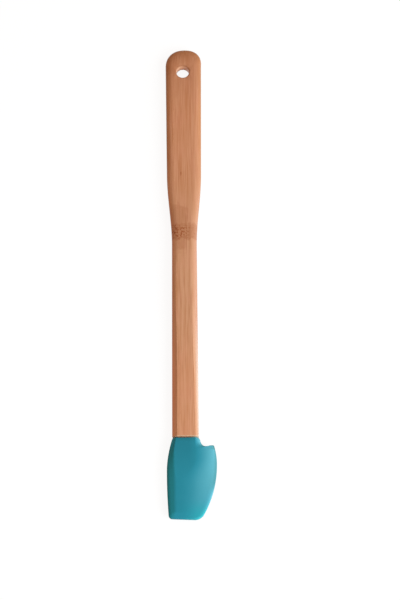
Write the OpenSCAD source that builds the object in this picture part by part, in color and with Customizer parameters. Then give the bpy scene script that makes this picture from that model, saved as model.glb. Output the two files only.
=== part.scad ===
// Jar scraper: a silicone blade, offset to one side, pushed onto the tongue of a flat bamboo handle.
// It lies on its back, with +Y from the blade's edge to the hanging end and +Z up off the table.

/* [Overall] */
// Length from the blade's edge to the hanging end
overall_len = 305; // [285:1:330]

/* [Bamboo handle] */
// Thickness of the bamboo strip
strip_t = 6; // [5.6:0.1:6.6]
// Width of the grip beside the hanging hole
grip_w = 22; // [21:0.1:22]
// Width of the grip where its swell ends
swell_w = 20.9; // [19:0.1:21.5]
// Width of the shaft at its waist
waist_w = 15; // [14:0.1:15.5]
// Width of the shaft at the head
shoulder_w = 15.6; // [15:0.1:16.2]
// Waist, measured from the blade's edge
waist_y = 173; // [150:1:190]
// End of the grip's swell, measured from the blade's edge
swell_y = 220; // [205:1:240]
// Length of the rounded hanging end
crown_len = 11; // [9:0.1:12]
// Fullness of the hanging end: 2 is half an ellipse
crown_full = 2.3; // [2:0.1:2.6]
// How far the top of the hanging end leans to the right
crown_lean = 0.8; // [0:0.1:1]
// Width of the shaft's chamfer, seen from above
chamfer_w = 3.1; // [2.6:0.1:3.4]
// Width of the right chamfer at the head, where it runs out
runout_w = 2; // [1.6:0.1:2.6]
// Height where the right chamfer has its full width, measured from the blade's edge
runout_y = 120; // [90:1:140]
// Depth of the shaft's chamfer
chamfer_d = 2; // [1.6:0.1:2.2]
// Share of the left chamfer's width that is missing where the plane rode up
lift_share = 0.3; // [0:0.05:0.4]
// Height of that narrow place, measured from the blade's edge
lift_y = 142; // [130:1:150]
// Width of the grip's rounded edge, seen from above
round_w = 4.6; // [3.6:0.1:5]
// Depth of the grip's rounded edge
round_d = 2.6; // [2:0.1:2.7]
// Height where the shaft's chamfer starts to soften, measured from the blade's edge
soften_y = 85; // [70:1:120]
// Height where the edge is fully round, measured from the blade's edge
rounded_y = 200; // [170:1:215]
// Share of the hanging end's length over which its face rolls off
crown_roll = 0.86; // [0.5:0.02:0.9]

/* [Hanging hole] */
// Diameter of the hole
hole_d = 8; // [6:0.5:9]
// Centre of the hole, measured from the hanging end
hole_from_end = 16; // [13:0.1:20]
// How far the hole sits to the left of the handle's axis
hole_left = 0.4; // [0:0.1:1]
// Chamfer at both mouths of the hole
hole_ease = 0.6; // [0.3:0.1:1]

/* [Tongue and socket] */
// Length of the tongue below the shoulder
tongue_len = 28; // [20:1:30]
// Width of the tongue at the shoulder
tongue_w = 10; // [8:0.1:10.4]
// Width of the tongue at its tip
tongue_tip_w = 8.6; // [7:0.1:9.5]
// Thickness of the tongue at the shoulder
tongue_t = 3; // [2.6:0.1:3.1]
// Thickness of the tongue at its tip
tongue_tip_t = 2.4; // [2:0.1:2.6]
// Corner radius of the tongue's tip
tongue_r = 2; // [1:0.1:3]
// Room between the tongue and its socket
socket_gap = 0.1; // [0.05:0.01:0.2]
// Room between the shoulder and the head
seat_gap = 0.5; // [0.1:0.05:0.6]
// Eased edge on both sides of the joint line
joint_ease = 0.5; // [0.3:0.05:0.6]
// Length over which the head's mouth rolls off towards the joint line
mouth_len = 3; // [2:0.1:4]
// Depth of that roll
mouth_drop = 1; // [0.6:0.05:1]
// How far the soft neck sits to the right of the shaft
neck_shift = 0.2; // [0:0.05:0.3]

/* [Blade outline] */
// Length of the head
head_len = 50.3; // [48:0.1:54]
// Reach of the blade to the left of the handle's axis
left_reach = 11.02; // [11.02:0.01:12]
// Reach of the blade to the right of the handle's axis
right_reach = 18.26; // [17.8:0.02:18.8]
// Height of the widest point on the left
left_widest_y = 28.7; // [24:0.1:32]
// Height of the widest point on the right
right_widest_y = 33.6; // [31:0.1:36]
// How far the left side draws in by the bottom corner
left_draw = 0.95; // [0.8:0.05:1.4]
// Radius of the long curve below the widest point on the right
right_r = 64; // [60:0.5:70]
// Left end of the bottom edge
bottom_left_x = -8; // [-8.4:0.1:-7.8]
// Rise of the bottom edge at its left end
bottom_rise = 0.6; // [0:0.1:1]
// Radius of the left bottom corner
left_corner_r = 2.2; // [2:0.1:2.6]
// Radius of the right bottom corner
right_corner_r = 6.2; // [3:0.1:7]

/* [Hook notch] */
// Lowest point of the notch, to the right of the handle's axis
notch_x = 12.35; // [12.2:0.05:12.6]
// Height of the notch floor
notch_y = 44.35; // [44:0.05:44.7]
// Radius of the fillet between the neck and the notch floor
notch_r = 3.7; // [3.4:0.05:3.9]
// Radius of the notch floor, rising to the hook
floor_r = 7.5; // [7:0.1:10]
// Left side of the hook's tip
hook_x = 15.2; // [14.9:0.1:15.4]
// Right side of the hook's tip
hook_side_x = 16.75; // [16.6:0.05:16.9]
// Height of the hook's right side
hook_side_y = 44.6; // [44.4:0.1:44.8]
// Radius of the hook's tip
hook_r = 1.1; // [0.9:0.05:1.4]

/* [Blade thickness] */
// Thickness of the middle band at the bottom bevel
tip_t = 4.4; // [3.6:0.1:5]
// Thickness of the blade's edges
edge_t = 1.5; // [1.2:0.1:2]
// Height where the middle band starts to thin
taper_y = 40; // [34:1:44]
// Half width of the middle band at the neck
neck_band = 5.6; // [5.2:0.1:5.8]
// Reach of the middle band to the left of the axis
band_left = 6.4; // [5.6:0.1:7.2]
// The same reach in the lower half, where the left bevel is wider
band_low_left = 5.2; // [4.6:0.1:6]
// Reach of the middle band to the right of the axis
band_right = 5.4; // [5:0.1:6.2]
// Height where the band starts to close into a ridge
band_end_y = 36; // [32:0.5:40]
// Height where only the ridge is left
ridge_y = 21; // [16:0.5:26]
// Reach of the ridge to the left of the axis
ridge_left = 3.3; // [2:0.1:4]
// Width of the bottom bevel
bottom_bevel = 4.2; // [3.8:0.1:5.4]
// Width of the rounded rim along the right side
wing_rim = 2.8; // [2:0.1:3.4]
// Width of the rounded rim along the left side and the bottom
side_rim = 1.4; // [1:0.1:1.6]
// Width of the rounded rim round the notch
notch_rim = 1.3; // [0.9:0.1:1.5]
// Share of the blade's fall that its rim takes
rim_share = 0.42; // [0.35:0.01:0.5]
// The same share on the left side and round the notch, where the blade stays thick
thick_share = 0.58; // [0.5:0.02:0.66]

/* [Hidden] */
$fn = 64;
bamboo = [0.77, 0.53, 0.39];
teal = [0.18, 0.53, 0.60];
half_t = strip_t / 2;
axis_x = (left_reach - right_reach) / 2;
// Length of the tongue's root inside the shaft, and how far a cutter runs past what it cuts
root = 6;
over = 1;
// Segments of a small corner
corner_steps = 6;

function mix(a, b, t) = a + (b - a) * t;
function clamp01(t) = min(1, max(0, t));
function ease(t) = let (u = clamp01(t)) u * u * (3 - 2 * u);
function last(list) = list[len(list) - 1];
function flipped(list) = [for (i = [len(list) - 1:-1:0]) list[i]];

// Radius of an arc that leaves a line parallel to Y and draws in by dx over dy
function draw_in_r(dx, dy) = (dx * dx + dy * dy) / (2 * dx);

// Points after a on the arc to b: it turns left for a positive radius, right for a negative one
function arc(a, b, r, n) =
    let (
        chord = b - a,
        half = norm(chord) / 2,
        left = [-chord.y, chord.x] / norm(chord),
        c = (a + b) / 2 + left * sign(r) * sqrt(r * r - half * half),
        start = atan2(a.y - c.y, a.x - c.x),
        sweep = 2 * asin(half / abs(r)) * sign(r)
    )
    [for (i = [1:n]) c + abs(r) * [cos(start + sweep * i / n), sin(start + sweep * i / n)]];

// A section is given from the top face out to the rim, and is repeated below the middle plane
function both_sides(upper) = concat(upper, [for (p = flipped(upper)) [p.x, p.y, -p.z]]);

// Closed skin over a chain of rim sections that runs clockwise around the outline from one flat end
// back to it. Sections counted from the two ends of the chain share a row across each face.
module rim_skin(sections) {
    n = len(sections);
    k = len(sections[0]);
    half_n = floor((n - 1) / 2);
    rim = [for (i = [0:n - 2]) for (j = [0:k - 2])
        let (a = i * k + j, b = a + k)
        each [[a, a + 1, b + 1], [a, b + 1, b]]];
    rows = [for (i = [0:half_n - 1])
        let (a = i, b = i + 1, c = n - 2 - i, d = n - 1 - i)
        each (b == c ? [[a, b, d]] : [[a, b, c], [a, c, d]])];
    top = [for (row = rows) row * k];
    back = [for (row = rows) [for (v = flipped(row)) v * k + k - 1]];
    end = concat([for (j = [0:k - 1]) (n - 1) * k + j], [for (j = [k - 1:-1:0]) j]);
    polyhedron(points = [for (s = sections) each s], faces = concat(rim, top, back, [end]), convexity = 6);
}

// Puts a piece that is drawn about the handle's axis, from the blade's edge at y = 0, into the part's frame
module placed() {
    translate([axis_x, -overall_len / 2, half_t])
        children();
}

// Half width of the handle: a straight shaft that swells into the grip
function handle_half_w(y) =
    let (
        shaft = mix(shoulder_w, waist_w, clamp01((y - head_len) / (waist_y - head_len))),
        grip = mix(swell_w, grip_w, clamp01((y - swell_y) / (overall_len - crown_len - swell_y)))
    )
    mix(shaft, grip, ease((y - waist_y) / (swell_y - waist_y))) / 2;

// How far the shaft's chamfer, sanded a little even where it is crisp, has turned into the grip's round,
// and where that leaves the edge of the face
sanded = 0.06;
function edge_soft(y) = mix(sanded, 1, ease((y - soften_y) / (rounded_y - soften_y)));
function chamfer_at(side, y) =
    side < 0 ? chamfer_w : mix(runout_w, chamfer_w, clamp01((y - head_len) / (runout_y - head_len)));
function face_x(side, y) =
    side * (handle_half_w(y) - edge_cut(side, y) * mix(chamfer_at(side, y), round_w, pow(edge_soft(y), 2)));

// Share of the edge's full cut: the left edge is cut less on both sides of where the plane rode up
lift_run = 40;
function edge_cut(side, y) = side < 0 ? 1 - lift_share * (1 - ease(abs(y - lift_y) / lift_run)) : 1;

// Handle edge from point b of the face out to outline point p
edge_steps = 7;
function handle_section(p, b, soft, half, cut = 1) =
    let (depth = mix(chamfer_d * norm(p - b) / chamfer_w, round_d * cut, soft))
    both_sides([for (i = [0:edge_steps])
        let (
            t = i / edge_steps,
            q = mix(b, p, mix(t, sin(90 * t), soft)),
            fall = depth * mix(t, 1 - cos(90 * t), soft)
        )
        [q.x, q.y, half - fall]]);

// Stations along one side of the handle, close together only where it curves
shaft_steps = 14;
swell_steps = 20;
grip_steps = 6;
crown_steps = 28;
crown_y = overall_len - crown_len;
handle_ys = concat(
    [for (i = [0:shaft_steps - 1]) mix(head_len + joint_ease, waist_y, i / shaft_steps)],
    [for (i = [0:swell_steps - 1]) mix(waist_y, swell_y, i / swell_steps)],
    [for (i = [0:grip_steps - 1]) mix(swell_y, crown_y, i / grip_steps)]);

function handle_side(side, ys) = [for (y = ys)
    handle_section(
        [side * handle_half_w(y), y], [face_x(side, y), y], edge_soft(y), half_t, edge_cut(side, y))];

function handle_foot(side) = handle_section(
    [side * (shoulder_w / 2 - joint_ease), head_len], [face_x(side, head_len), head_len],
    sanded, half_t - joint_ease);

// The hanging end is half of a full ellipse, and its face rolls off over most of its length
function full_pow(t, e) = sign(t) * pow(abs(t), e);
crown = [for (i = [0:crown_steps])
    let (
        a = 180 * (1 - i / crown_steps),
        q = [full_pow(cos(a), 2 / crown_full), full_pow(sin(a), 2 / crown_full)],
        lean = q.y * crown_lean
    )
    handle_section(
        [q.x * grip_w / 2 + lean, crown_y + q.y * crown_len],
        [q.x * (grip_w / 2 - round_w) + lean, crown_y + q.y * crown_len * (1 - crown_roll)],
        1, half_t)];

handle_chain = concat(
    [handle_foot(-1)], handle_side(-1, handle_ys),
    crown,
    handle_side(1, flipped(handle_ys)), [handle_foot(1)]);

// Tapered tongue under the shoulder, grown all round by gap where it is used as the socket. Its taper starts
// between the shoulder and the head, so that no corner of it is flush with either of them.
module tongue(gap) {
    root_y = head_len + root;
    bend_y = head_len - seat_gap / 2;
    tip_y = head_len - tongue_len - gap;
    tip = [tongue_tip_w / 2 + gap, tip_y];
    right = concat(
        [[tongue_w / 2 + gap, root_y], [tongue_w / 2 + gap, bend_y], [tip.x, tip.y + tongue_r]],
        arc([tip.x, tip.y + tongue_r], [tip.x - tongue_r, tip.y], -tongue_r, corner_steps));
    side = [
        [root_y, tongue_t / 2 + gap],
        [bend_y, tongue_t / 2 + gap],
        [tip_y, tongue_tip_t / 2 + gap]
    ];
    intersection() {
        translate([0, 0, -half_t])
            linear_extrude(strip_t)
                polygon(concat(right, [for (p = flipped(right)) [-p.x, p.y]]));
        rotate([90, 0, 90])
            linear_extrude(strip_t * 2, center = true)
                polygon(concat(side, [for (p = flipped(side)) [p.x, -p.y]]));
    }
}

// Through hole that the tool hangs by, with eased mouths
module hanging_hole() {
    translate([-hole_left, overall_len - hole_from_end, 0]) {
        cylinder(d = hole_d, h = strip_t + 2 * over, center = true);
        for (face = [0, 1])
            mirror([0, 0, face])
                translate([0, 0, half_t - hole_ease])
                    cylinder(d1 = hole_d, d2 = hole_d + 2 * (hole_ease + over), h = hole_ease + over);
    }
}

// One strip of bamboo: shaft, grip and tongue
module bamboo_handle() {
    color(bamboo)
        placed()
            difference() {
                union() {
                    rim_skin(handle_chain);
                    tongue(0);
                }
                hanging_hole();
            }
}

// Half thickness of the head's middle band, full over the socket and thinner towards the bottom edge
taper_bend = 1.5;
function band_half(y) =
    mix(half_t, tip_t / 2, pow(clamp01((taper_y - y) / (taper_y - bottom_bevel)), taper_bend));

// Fall of the head's faces where its mouth rolls off towards the joint line
head_top = head_len - seat_gap;
function mouth_fall(y) =
    let (t = clamp01((y - head_top + mouth_len) / mouth_len))
    mouth_drop * (1 - sqrt(1 - t * t));

// Shapes of the head's edge: width of the rounded rim, its share of the fall, how much of the bevel eases
// off the band, and half the thickness that is left at the edge
blade_soft = 0.2;
side_soft = 0.5;
neck_edge = [0.6, 0.3, 0.1, 1.3];
left_neck_edge = [0.6, 0.3, 0.2, 1.8];
notch_edge = [notch_rim, thick_share, blade_soft, edge_t / 2];
hook_edge = [notch_rim, rim_share, blade_soft, edge_t / 2];
wing_edge = [wing_rim, rim_share, blade_soft, edge_t / 2];
low_edge = [wing_rim, rim_share, 1, edge_t / 2];
side_edge = [side_rim, thick_share, side_soft, edge_t / 2];
bottom_edge = [side_rim, rim_share, blade_soft, edge_t / 2];

// Head section of the given edge shape, from band point b down the bevel and round the rim to point p.
// The rim lies between a flat and a quarter circle, by the share rim_round.
bevel_steps = [0, 0.1, 0.2, 0.32, 0.46, 0.64, 0.82, 1];
rim_steps = 5;
rim_round = 0.4;
function bevel_fall(s, soft) =
    (s < soft ? s * s / (2 * soft) : s - soft / 2) / (1 - soft / 2);
function head_section(p, b, shape) =
    let (
        roll = mouth_fall(b.y),
        crest = band_half(b.y) - roll,
        edge = shape[3] - roll,
        knee = mix(edge, crest, shape[1]),
        knee_p = p + (b - p) / norm(b - p) * shape[0],
        bevel = [for (s = bevel_steps)
            let (q = mix(b, knee_p, s))
            [q.x, q.y, mix(crest, knee, bevel_fall(s, shape[2]))]],
        rim = [for (i = [1:rim_steps])
            let (a = 90 * i / rim_steps, q = mix(knee_p, p, sin(a)))
            [q.x, q.y, mix(edge, knee, mix(1 - sin(a), cos(a), rim_round))]]
    )
    both_sides(concat(bevel, rim));

// Edges of the middle band, which closes into a ridge towards the bottom
neck_y = head_top - joint_ease;
// Length over which the neck's section turns into the blade's
neck_run = 8;
function neck_x(side) = side * shoulder_w / 2 + neck_shift;
function blade_share(y) = ease((neck_y - y) / neck_run);
function ridge_share(y) = ease((band_end_y - y) / (band_end_y - ridge_y));
function band_left_x(y) = -mix(neck_band, mix(band_left, band_low_left, ridge_share(y)), blade_share(y));
function band_right_x(y) = mix(mix(neck_band, band_right, blade_share(y)), -ridge_left, ridge_share(y));

// Corners of the right side's outline, from the notch down
notch_wall = [notch_x - notch_r, notch_y + notch_r];
notch_floor = [notch_x, notch_y];
hook_tip = [hook_x, notch_y + floor_r - sqrt(floor_r * floor_r - pow(hook_x - notch_x, 2))];
hook_side = [hook_side_x, hook_side_y];
widest_right = [right_reach, right_widest_y];
upper_right_r = draw_in_r(right_reach - hook_side.x, hook_side.y - right_widest_y);
// Radius of the neck's right wall, above the notch
wall_r = 20;

// The right bottom corner touches both the long side curve and the bottom edge
side_c = widest_right - [right_r, 0];
corner_c = [
    side_c.x + sqrt(pow(right_r - right_corner_r, 2) - pow(side_c.y - right_corner_r, 2)),
    right_corner_r
];
corner_start = corner_c + right_corner_r * (corner_c - side_c) / norm(corner_c - side_c);

// Heights at which the ends of the fillet, the floor and the hook run into the band, as shares of the way
// down to the widest point, and the height at which the bottom corners start
wing_shares = [0.3, 0.43, 0.52];
wing_ys = [for (share = wing_shares) mix(notch_wall.y, right_widest_y, share)];
corner_room = 0.8;
band_low_y = bottom_bevel + corner_room;

// Right side of the head, span by span: the outline's next corner and the radius that leads there, the
// height of the band point beside it, the shape of the edge there and the segments on the way
right_start = [[neck_x(1), neck_y], neck_y, neck_edge];
right_spans = [
    [notch_wall, wall_r, notch_wall.y, neck_edge, 2],
    [notch_floor, notch_r, wing_ys[0], notch_edge, 12],
    [hook_tip, floor_r, wing_ys[1], notch_edge, 5],
    [hook_side, -hook_r, wing_ys[2], hook_edge, 8],
    [widest_right, -upper_right_r, right_widest_y, wing_edge, 9],
    [corner_start, -right_r, band_low_y, low_edge, 20]
];

// Stations of one span after the station it starts from: outline point, height on the band, edge shape
function span_stations(from, span) =
    let (n = last(span), outline = arc(from[0], span[0], span[1], n))
    [for (i = [1:n]) [outline[i - 1], mix(from[1], span[2], i / n), mix(from[2], span[3], i / n)]];
function chain_spans(from, spans, i = 0) =
    i == len(spans) ? [] :
    let (stations = span_stations(from, spans[i]))
    concat(stations, chain_spans(last(stations), spans, i + 1));

right_side = concat([right_start], chain_spans(right_start, right_spans));

// Left side: two long arcs that meet at the widest point, with its stations level with the right side's
left_corner_y = bottom_rise + left_corner_r;
function left_x(y) =
    let (
        above = y > left_widest_y,
        draw = above ? left_reach + neck_x(-1) : left_draw,
        r = draw_in_r(draw, above ? neck_y - left_widest_y : left_widest_y - left_corner_y),
        rise = y - left_widest_y
    )
    r - sqrt(r * r - rise * rise) - left_reach;
left_side = [for (station = right_side)
    let (
        b_y = station[1],
        p_y = mix(left_corner_y, neck_y, (b_y - band_low_y) / (neck_y - band_low_y))
    )
    [[left_x(p_y), p_y], b_y, mix(left_neck_edge, side_edge, blade_share(b_y))]];

// Bottom corners, which leave one straight bevel between them
right_corner = span_stations(last(right_side),
    [[corner_c.x, 0], -right_corner_r, bottom_bevel, bottom_edge, corner_steps]);
left_corner = span_stations(last(left_side),
    [[bottom_left_x, bottom_rise], left_corner_r, bottom_bevel, bottom_edge, corner_steps]);

// The ridge's own bottom corners draw in as the bevel turns the corner
band_corner = 0.6;
function corner_in(y) = band_corner * ease((band_low_y - y) / (band_low_y - bottom_bevel));
function right_band(y) = [band_right_x(y) - corner_in(y), y];
function left_band(y) = [band_left_x(y) + corner_in(y), y];

right_sections = [for (s = concat(right_side, right_corner)) head_section(s[0], right_band(s[1]), s[2])];
left_sections = [for (s = concat(left_side, left_corner)) head_section(s[0], left_band(s[1]), s[2])];

// The mouth's own rim, from the neck up to the joint line
mouth_steps = 4;
function head_mouth(side) = [for (i = [1:mouth_steps])
    let (
        a = 90 * i / mouth_steps,
        y = neck_y + joint_ease * sin(a),
        x = neck_x(side) - side * joint_ease * (1 - cos(a))
    )
    head_section([x, y], [side * neck_band, y], side > 0 ? neck_edge : left_neck_edge)];

head_chain = concat(flipped(head_mouth(1)), right_sections, flipped(left_sections), head_mouth(-1));

// Soft blade with its socket for the tongue
module silicone_head() {
    color(teal)
        placed()
            difference() {
                rim_skin(head_chain);
                tongue(socket_gap);
            }
}

bamboo_handle();
silicone_head();
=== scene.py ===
import math

import bmesh
import bpy
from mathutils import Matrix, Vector


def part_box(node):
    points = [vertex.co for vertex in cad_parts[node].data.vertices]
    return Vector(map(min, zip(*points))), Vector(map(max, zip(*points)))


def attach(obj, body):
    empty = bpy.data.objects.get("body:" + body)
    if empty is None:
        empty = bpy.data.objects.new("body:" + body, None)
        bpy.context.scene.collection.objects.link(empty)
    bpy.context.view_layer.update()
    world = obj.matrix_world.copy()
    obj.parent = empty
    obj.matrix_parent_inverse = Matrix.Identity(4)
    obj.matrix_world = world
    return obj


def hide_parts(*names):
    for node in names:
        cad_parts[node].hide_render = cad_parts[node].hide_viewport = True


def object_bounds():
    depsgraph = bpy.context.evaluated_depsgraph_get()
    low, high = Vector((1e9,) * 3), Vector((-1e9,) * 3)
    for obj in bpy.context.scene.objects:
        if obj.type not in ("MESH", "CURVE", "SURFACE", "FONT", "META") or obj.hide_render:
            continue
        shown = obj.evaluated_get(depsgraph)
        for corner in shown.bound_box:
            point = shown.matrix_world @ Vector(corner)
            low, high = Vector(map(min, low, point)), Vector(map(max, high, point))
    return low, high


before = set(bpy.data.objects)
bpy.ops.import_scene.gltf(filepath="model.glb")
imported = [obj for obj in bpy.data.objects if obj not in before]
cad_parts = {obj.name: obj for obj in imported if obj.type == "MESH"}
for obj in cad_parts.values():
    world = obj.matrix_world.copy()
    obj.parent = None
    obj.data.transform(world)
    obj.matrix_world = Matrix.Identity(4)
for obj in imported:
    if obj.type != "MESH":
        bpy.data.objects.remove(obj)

cad_low, cad_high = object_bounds()

# Bamboo handle: one strip of carbonised bamboo, planed to a chamfered shaft and sanded round at the grip.
# Its fibres run the whole length, and the culm's growth ring crosses it as a speckled band below the grip.
# The hanging hole is drilled through after the sanding, so its wall is paler than the faces, and painted
# light makes it paler still.
CREASE = math.radians(24)
SAME_POINT = 1e-6
FLAT_FACE_WEIGHT = 95


def dressed_copy(name, node, material):
    """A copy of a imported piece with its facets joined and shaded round, and creases kept sharp."""
    shape = bmesh.new()
    shape.from_mesh(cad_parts[node].data)
    bmesh.ops.remove_doubles(shape, verts=shape.verts, dist=SAME_POINT)
    mesh = bpy.data.meshes.new(name)
    shape.to_mesh(mesh)
    shape.free()
    mesh.shade_smooth()
    mesh.set_sharp_from_angle(angle=CREASE)
    mesh.materials.clear()
    mesh.materials.append(material)
    piece = bpy.data.objects.new(name, mesh)
    bpy.context.scene.collection.objects.link(piece)
    flat_faces = piece.modifiers.new("flat_faces", "WEIGHTED_NORMAL")
    flat_faces.keep_sharp = True
    flat_faces.weight = FLAT_FACE_WEIGHT
    return piece


class Wire:
    """One output of a material's nodes. Arithmetic on it adds the Math nodes."""

    def __init__(self, socket):
        self.socket = socket

    def add(self, kind, settings=None, inputs=None, out=0):
        """Adds a node to the same material: its settings first, then its inputs' values or wires."""
        tree = self.socket.id_data
        node = tree.nodes.new("ShaderNode" + kind)
        for name, value in (settings or {}).items():
            setattr(node, name, value)
        for name, value in (inputs or {}).items():
            if isinstance(value, Wire):
                tree.links.new(value.socket, node.inputs[name])
            else:
                node.inputs[name].default_value = value
        return Wire(node.outputs[out])

    def other(self, out):
        """Another output of the same node."""
        return Wire(self.socket.node.outputs[out])

    def maths(self, operation, a, b=0.0):
        return self.add("Math", {"operation": operation}, {0: a, 1: b})

    def __add__(self, value):
        return self.maths("ADD", self, value)

    def __radd__(self, value):
        return self.maths("ADD", value, self)

    def __sub__(self, value):
        return self.maths("SUBTRACT", self, value)

    def __rsub__(self, value):
        return self.maths("SUBTRACT", value, self)

    def __mul__(self, value):
        return self.maths("MULTIPLY", self, value)

    def __rmul__(self, value):
        return self.maths("MULTIPLY", value, self)

    def __truediv__(self, value):
        return self.maths("DIVIDE", self, value)

    def __pow__(self, value):
        return self.maths("POWER", self, value)

    def __abs__(self):
        return self.maths("ABSOLUTE", self)

    def rise(self, low, high):
        """0 below low and 1 above high, with a smooth step between. A falling step has low above high."""
        bounds = {"From Min": low, "From Max": high}
        return self.add("MapRange", {"interpolation_type": "SMOOTHSTEP"}, {"Value": self, **bounds})

    def between(self, low_colour, high_colour):
        """Low_colour where the wire is 0, and high_colour where it is 1."""
        return self.add("Mix", {"data_type": "RGBA"}, {0: self, 6: low_colour, 7: high_colour}, out=2)


def seen(red, green, blue):
    """A colour as the eye reads it, from 0 to 255, in the linear values that a shader takes."""
    return (*(((c / 255 + 0.055) / 1.055) ** 2.4 for c in (red, green, blue)), 1.0)


def new_material(name):
    """A material with its shader, and the place on the surface in the object's own metres."""
    material = bpy.data.materials.new(name)
    material.use_nodes = True
    shader = material.node_tree.nodes["Principled BSDF"]
    place = Wire(shader.outputs[0]).add("TexCoord", out="Object")
    return material, shader, place


def feed(shader, **wires):
    for name, wire in wires.items():
        wire.socket.id_data.links.new(wire.socket, shader.inputs[name.replace("_", " ")])


def split(place):
    """The x, y and z of a place."""
    x = place.add("SeparateXYZ", inputs={0: place})
    return x, x.other("Y"), x.other("Z")


def paint(tone, colour, mask, share):
    """The tone with a share of the colour laid over it where the mask is 1, and none where it is 0."""
    return (mask * share).between(tone, colour)


def stretched(place, size, seed=0.0):
    """The place in cells of the given size, in metres, moved on by the seed."""
    scale = [1 / s for s in size]
    return place.add("Mapping", inputs={"Vector": place, "Location": (seed, seed, seed), "Scale": scale})


NOISE_MEAN = 0.5


def noise(place, size, detail=2.0, seed=0.0):
    return place.add("TexNoise", inputs={
        "Vector": stretched(place, size, seed), "Scale": 1.0, "Detail": detail, "Roughness": 0.55})


SHAFT_Y = (-0.02, -0.075)
GRIP_Y = (0.02, 0.09)
RING_Y = 0.0282
STAIN = seen(148, 78, 36)
END_GRAIN = seen(158, 101, 67)


def bamboo_face(place, y, fibres, bundles):
    """The planed wood: light and dark fibres, calmer near the ring, with red patches and dark bundles."""
    light_fibre = seen(205, 154, 118)
    dark_fibre = seen(182, 126, 86)
    blush = seen(202, 143, 112)
    shaft_tone = seen(214, 138, 95)
    grip_tone = seen(194, 111, 69)
    bundle_tone = seen(148, 90, 58)
    fibre_share = 0.72
    grain_range = (0.32, 0.68)
    blush_range = (0.4, 0.7)
    calm_reach = (0.04, 0.012)
    calm_share = 0.55

    streaks = noise(place, size=(0.0034, 0.09, 0.0034), seed=4.0)
    patches = noise(place, size=(0.005, 0.014, 0.005), detail=3.0, seed=6.0)
    near_ring = abs(y - RING_Y).rise(*calm_reach)
    grain = fibres * fibre_share + streaks * (1 - fibre_share)
    grain = grain + (NOISE_MEAN - grain) * near_ring * calm_share
    tone = grain.rise(*grain_range).between(dark_fibre, light_fibre)
    tone = paint(tone, blush, patches.rise(*blush_range), share=0.35)
    tone = paint(tone, shaft_tone, y.rise(*SHAFT_Y), share=0.25)
    tone = paint(tone, grip_tone, y.rise(*GRIP_Y), share=0.25)
    return paint(tone, bundle_tone, bundles, share=0.18)


def bamboo_edges_painted_light(tone, x, y, edge):
    """The narrow sides, with painted light: a redder painted shade on the shaft's shaded left, a paler
    painted sheen low on its lit right, and browner round the grip.
    """
    shaded_left_edge = seen(234, 144, 104)
    lit_right_edge = seen(198, 142, 118)
    sheen_edge = seen(212, 197, 178)
    grip_edge = seen(174, 109, 42)
    right_x = (-0.002, 0.001)

    # Painted light: the shaft's shaded left side is painted redder, and its lit right side paler, a
    # painted sheen that grows towards the head.
    right_sheen_tone = y.rise(*SHAFT_Y).between(lit_right_edge, sheen_edge)
    shaft_edge = x.rise(*right_x).between(shaded_left_edge, right_sheen_tone)
    return paint(tone, y.rise(*GRIP_Y).between(shaft_edge, grip_edge), edge, share=0.45)


def spot(where, fibres, ragged, centre, size):
    """1 in the middle of a ragged oval on the front face, and 0 outside it."""
    torn_across = 3.0
    torn_along = 2.0
    oval = (1.4, 0.3)
    front_z = (0.003, 0.004)

    x, y, z = where
    across = (x - centre[0]) / size[0] + (fibres - NOISE_MEAN) * torn_across
    along = (y - centre[1]) / size[1] + (ragged - NOISE_MEAN) * torn_along
    return (across ** 2 + along ** 2).rise(*oval) * z.rise(*front_z)


def growth_ring(tone, place, where, fibres, ragged):
    """The growth ring: a ragged stain with a darker border and specks, and fainter stains beside it."""
    half_width = 0.0044
    softness = 0.0022
    raggedness = 0.006
    border_reach = (0.0011, 0.0002)
    speck_range = (0.52, 0.66)
    speck_x = (0.001, -0.005)
    right_specks = 0.35
    clump_gain = 0.05
    ring_share = 0.34
    border_share = 0.15
    speck_share = 0.6

    x, y = where[:2]
    near = abs(y - RING_Y) + (ragged - NOISE_MEAN) * raggedness
    in_ring = near.rise(half_width + softness, half_width - softness)
    border = abs(near - half_width).rise(*border_reach)
    clump = spot(where, fibres, ragged, centre=(-0.006, 0.028), size=(0.004, 0.004))
    specks = noise(place, size=(0.0012, 0.0012, 0.0012), detail=1.0, seed=2.0)
    specks = (specks + clump * clump_gain).rise(*speck_range) * in_ring
    specks = specks * (right_specks + x.rise(*speck_x) * (1 - right_specks))

    above = spot(where, fibres, ragged, centre=(-0.007, 0.038), size=(0.007, 0.009))
    below = spot(where, fibres, ragged, centre=(-0.0045, 0.0205), size=(0.0036, 0.0055))
    tone = paint(tone, STAIN, above + below, share=0.28)
    return (in_ring * ring_share + border * border_share + specks * speck_share).between(tone, STAIN)


def small_marks(tone, where, fibres, ragged):
    """A darker patch on the left beside the hanging hole, and a short dark flaw in the middle of the grip.
    """
    dark_patch = spot(where, fibres, ragged, centre=(-0.0105, 0.1405), size=(0.0045, 0.007))
    flaw = spot(where, fibres, ragged, centre=(-0.0056, 0.067), size=(0.00035, 0.0016))
    tone = paint(tone, STAIN, dark_patch, share=0.28)
    return paint(tone, STAIN, flaw, share=0.7)


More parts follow.
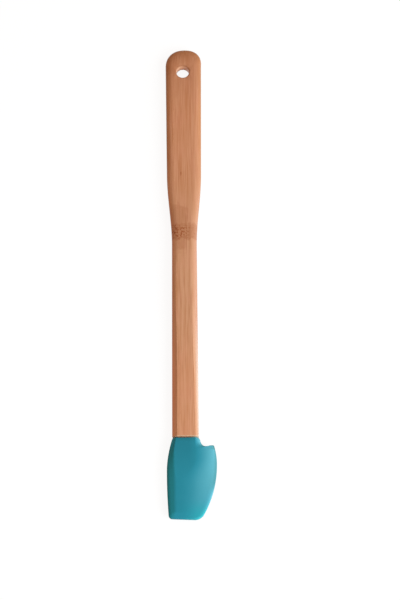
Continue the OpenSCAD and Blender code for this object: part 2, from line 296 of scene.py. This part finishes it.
def cut_wood(tone, x, y, edge):
    """Where the strip was cut: the hole's dark mouth, its bare wall with painted light, the hanging end
    darker with end grain and painted shade, and a painted highlight at the shoulder.
    """
    bare_and_lit_wall = seen(240, 180, 134)
    lit_shoulder_edge = seen(212, 186, 150)
    hole_x = -0.00402
    hole_y = 0.1365
    mouth_radius = (0.005, 0.0045)
    wall_radius = (0.0043, 0.0041)
    top_y = (0.105, 0.135)
    top_share = 0.25
    crown_y = (0.141, 0.1525)
    crown_share = 0.35
    shoulder_y = (-0.1016, -0.1019)

    from_hole = ((x - hole_x) ** 2 + (y - hole_y) ** 2) ** 0.5
    # Darker towards the hanging end; over the crown this is partly end grain and partly painted shade
    # where the crown turns away from the light.
    end_grain_and_shade = y.rise(*top_y) * top_share + y.rise(*crown_y) * crown_share
    tone = paint(tone, END_GRAIN, from_hole.rise(*mouth_radius), share=0.4)
    # Painted light: the hole's wall is painted pale, bare drilled wood with painted light for the light
    # that reaches into the hole.
    tone = (from_hole.rise(*wall_radius) * edge).between(tone, bare_and_lit_wall)
    tone = end_grain_and_shade.between(tone, END_GRAIN)
    # Painted highlight on the eased edge at the shoulder and in the joint's gap below it.
    return paint(tone, lit_shoulder_edge, y.rise(*shoulder_y), share=0.35)


def bamboo():
    bundle_range = (0.34, 0.1)
    edge_z = (0.0029, 0.0014)
    rough_y = (-0.085, 0.01)
    fibre_height = 0.6
    bundle_depth = 0.4
    face_roughness = 0.56
    edge_polish = 0.4
    fibre_roughness = 0.14
    grip_roughness = 0.1

    material, shader, place = new_material("bamboo")
    shader.inputs["Specular IOR Level"].default_value = 0.25
    where = split(place)
    x, y, z = where
    low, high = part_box("bamboo_handle")
    edge = abs(z - (low.z + high.z) / 2).rise(*edge_z)
    fibres = noise(place, size=(0.0007, 0.022, 0.0007), detail=3.0)
    ragged = noise(place, size=(0.003, 0.003, 0.003), detail=4.0, seed=9.0)
    cells = place.add("TexVoronoi", inputs={
        "Vector": stretched(place, size=(0.0011, 0.018, 0.0011)), "Scale": 1.0})
    bundles = cells.rise(*bundle_range)

    tone = bamboo_face(place, y, fibres, bundles)
    tone = bamboo_edges_painted_light(tone, x, y, edge)
    tone = growth_ring(tone, place, where, fibres, ragged)
    tone = small_marks(tone, where, fibres, ragged)
    tone = cut_wood(tone, x, y, edge)

    height = fibres * fibre_height - bundles * bundle_depth
    bump = place.add("Bump", inputs={"Height": height, "Strength": 0.3, "Distance": 0.00006})
    roughness = face_roughness - edge * edge_polish + fibres * fibre_roughness
    roughness = roughness + y.rise(*rough_y) * grip_roughness
    feed(shader, Base_Color=tone, Roughness=roughness, Normal=bump)
    return material


handle = dressed_copy("bamboo_handle_finish", "bamboo_handle", bamboo())
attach(handle, "handle")
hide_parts("bamboo_handle")

# Silicone head: one moulding in a satin mould, pushed over the strip's tongue as far as the shoulder.
# Silicone lets a little light through, so it is paler where the wing is thin, and darker over the tongue.
# Painted light is laid over that: paler on the right wing and the bottom rim, which face the light, and
# painted shade on the neck's left, at the lip, on the steep left side and where the rim and the notch turn
# away.
LOW_RIM_Y = (-0.129, -0.139)


def thin_and_lit_wing(x, y, depth, cloud):
    """Teal that grows paler as the wing thins towards the right, partly through the thin silicone and
    partly as painted light where it faces the light, and greener and painted paler at the bottom edge.
    """
    thick = seen(8, 128, 146)
    thin_and_lit = seen(96, 182, 196)
    thin_and_lit_low = seen(40, 190, 192)
    pale_depth = (1.0, 0.4)
    wing_x = (-0.008, 0.004)
    wing_y = (-0.15, -0.118)
    bottom_y = (-0.139, -0.151)
    rim_depth = (0.45, 0.28)
    bottom_paleness = 0.3
    low_rim_paleness = 0.45
    wing_share = 0.9
    cloud_share = 0.06

    # Partly painted light: only the right wing, which faces the light, grows pale as it thins, and the
    # bottom rim is painted paler where it faces the light.
    wing = depth.rise(*pale_depth) * x.rise(*wing_x)
    low_rim = depth.rise(*rim_depth) * y.rise(*LOW_RIM_Y)
    paleness = bottom_paleness + y.rise(*wing_y) * (1 - bottom_paleness) + low_rim * low_rim_paleness
    pale = y.rise(*bottom_y).between(thin_and_lit, thin_and_lit_low)
    return (wing * paleness * wing_share + cloud * cloud_share).between(thick, pale)


def turned_rim(tone, x, y, depth):
    """The greyer line where the wing's rim and the notch's floor turn away from the light."""
    rim_tone = seen(55, 118, 117)
    rim_depth = (0.6, 0.32)
    rim_x = (0.002, 0.006)
    rim_share = 0.6
    notch_depth = (0.8, 0.5)
    notch_x = (0.0042, 0.0064)
    notch_y = (-0.1106, -0.1096)
    notch_share = 0.35

    rim = depth.rise(*rim_depth) * x.rise(*rim_x) * (1 - y.rise(*LOW_RIM_Y))
    notch = depth.rise(*notch_depth) * x.rise(*notch_x) * y.rise(*notch_y)
    return (rim * rim_share + notch * notch_share).between(tone, rim_tone)


def neck_shade(tone, x, y, depth):
    """Painted shade: the neck's left over the wooden tongue, partly the wood showing through, the lip at
    the shoulder that turns away from the light, and the steep left side below them.
    """
    core_and_shade = seen(0, 114, 132)
    lip_shade = seen(0, 84, 92)
    side_shade = seen(0, 124, 130)
    core_x = (0.002, -0.002)
    core_y = (-0.13, -0.103)
    core_depth = (0.7, 0.95)
    lip_y = (-0.1036, -0.103)
    side_x = (-0.0095, -0.011)
    side_y = (-0.106, -0.115)

    over_core = x.rise(*core_x)
    # Painted shade on the neck's left towards the shoulder, partly the tongue showing through the
    # silicone.
    tone = paint(tone, core_and_shade, over_core * y.rise(*core_y) * depth.rise(*core_depth), share=0.6)
    # Painted shade on the lip at the shoulder, which turns away from the light.
    tone = paint(tone, lip_shade, over_core * y.rise(*lip_y), share=0.6)
    # Painted shade on the steep left side, which faces away from the light.
    return paint(tone, side_shade, x.rise(*side_x) * y.rise(*side_y), share=0.6)


def silicone():
    satin_roughness = 0.56
    cloud_roughness = 0.12

    material, shader, place = new_material("silicone")
    shader.inputs["IOR"].default_value = 1.41
    x, y, z = split(place)
    low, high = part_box("silicone_head")
    depth = abs(z - (low.z + high.z) / 2) / ((high.z - low.z) / 2)
    cloud = noise(place, size=(0.006, 0.006, 0.006), detail=3.0)
    satin = noise(place, size=(0.00022, 0.00022, 0.00022), detail=1.0)

    tone = thin_and_lit_wing(x, y, depth, cloud)
    tone = turned_rim(tone, x, y, depth)
    tone = neck_shade(tone, x, y, depth)
    bump = place.add("Bump", inputs={"Height": satin, "Strength": 0.2, "Distance": 0.00003})
    feed(shader, Base_Color=tone, Roughness=satin_roughness + cloud * cloud_roughness, Normal=bump)
    return material


head = dressed_copy("silicone_head_finish", "silicone_head", silicone())
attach(head, "head")
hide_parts("silicone_head")

# Table: a plain white sheet that the tool lies on, a hair below its back face, turned up at its far edge.
# What looks at it sees white with the tool's soft shadow, and it lights the tool a little from below.
TABLE_RADIUS = 3.0
TABLE_RIM = 0.8
TABLE_DROP = 0.0001
TABLE_SEGMENTS = 96
SHEET_GREY = (0.12, 0.12, 0.12, 1.0)
SHEET_GLOW = (0.28, 0.24, 0.2, 1.0)
SHEET_WHITE = (0.905, 0.905, 0.905, 1.0)


def table_sheet():
    material, shader, place = new_material("table_sheet")
    shader.inputs["Base Color"].default_value = SHEET_GREY
    shader.inputs["Roughness"].default_value = 1.0
    shader.inputs["Specular IOR Level"].default_value = 0.0
    shader.inputs["Emission Strength"].default_value = 1.0
    path = place.add("LightPath", out="Is Camera Ray")
    looked_at = path.maths("MAXIMUM", path.other("Is Glossy Ray"), path.other("Is Transmission Ray"))
    looked_at = path.maths("MAXIMUM", path, looked_at)
    feed(shader, Emission_Color=looked_at.between(SHEET_GLOW, SHEET_WHITE))
    return material


sheet = bmesh.new()
bmesh.ops.create_circle(sheet, cap_ends=True, segments=TABLE_SEGMENTS, radius=TABLE_RADIUS)
turned_up = bmesh.ops.extrude_edge_only(sheet, edges=[e for e in sheet.edges if e.is_boundary])
table_rim = [v for v in turned_up["geom"] if isinstance(v, bmesh.types.BMVert)]
bmesh.ops.translate(sheet, verts=table_rim, vec=(0, 0, TABLE_RIM))
bmesh.ops.translate(sheet, verts=sheet.verts, vec=(0, 0, cad_low.z - TABLE_DROP))
table_mesh = bpy.data.meshes.new("table")
sheet.to_mesh(table_mesh)
sheet.free()
table_mesh.materials.append(table_sheet())
table = bpy.data.objects.new("table", table_mesh)
bpy.context.scene.collection.objects.link(table)

# Studio: a soft window low in the front on the right, and a smaller lamp behind it on the same side that
# puts the sheen on the chamfers, in a plain warm room.
ROOM_COLOUR = (0.54, 0.4, 0.3, 1.0)
WINDOW_COLOUR = (0.82, 1.0, 1.19)
WINDOW_POWER = 16.4
WINDOW_SIZE = 0.8
WINDOW_FROM = Vector((0.816, -0.696, 0.54))
LAMP_COLOUR = (0.92, 1.0, 1.02)
LAMP_POWER = 4.6
LAMP_SIZE = 0.45
LAMP_FROM = Vector((0.942, 0.32, 0.392))

world = bpy.data.worlds.new("room")
bpy.context.scene.world = world
world.use_nodes = True
room = world.node_tree.nodes["Background"]
room.inputs["Color"].default_value = ROOM_COLOUR


def soft_light(name, colour, power, size, source):
    """A square light that points at the tool from its place."""
    lamp = bpy.data.lights.new(name, "AREA")
    lamp.shape = "SQUARE"
    lamp.size = size
    lamp.energy = power
    lamp.color = colour
    light = bpy.data.objects.new(name, lamp)
    light.location = source
    light.rotation_euler = (-source).to_track_quat("-Z", "Y").to_euler()
    bpy.context.scene.collection.objects.link(light)


soft_light("window", WINDOW_COLOUR, WINDOW_POWER, WINDOW_SIZE, WINDOW_FROM)
soft_light("lamp", LAMP_COLOUR, LAMP_POWER, LAMP_SIZE, LAMP_FROM)

# Camera: a long lens that looks steeply down on the tool, almost square to its length, from far enough
# away that the grip and the blade show at nearly the same scale.
CAMERA_ELEVATION = math.radians(68)
CAMERA_TURN = 0.0079
CAMERA_DISTANCE = 1.5014
CAMERA_AIM = Vector((0.00556, -0.01414, 0))
CAMERA_LENS = 150
CAMERA_REACH = 20

eye = bpy.data.cameras.new("camera")
eye.lens = CAMERA_LENS
eye.clip_end = CAMERA_REACH
camera = bpy.data.objects.new("camera", eye)
level = CAMERA_DISTANCE * math.cos(CAMERA_ELEVATION)
camera.location = CAMERA_AIM + Vector((
    -level * math.sin(CAMERA_TURN),
    -level * math.cos(CAMERA_TURN),
    CAMERA_DISTANCE * math.sin(CAMERA_ELEVATION)))
camera.rotation_euler = (math.pi / 2 - CAMERA_ELEVATION, 0, -CAMERA_TURN)
bpy.context.scene.collection.objects.link(camera)
bpy.context.scene.camera = camera

bpy.context.scene.view_settings.view_transform = "Standard"
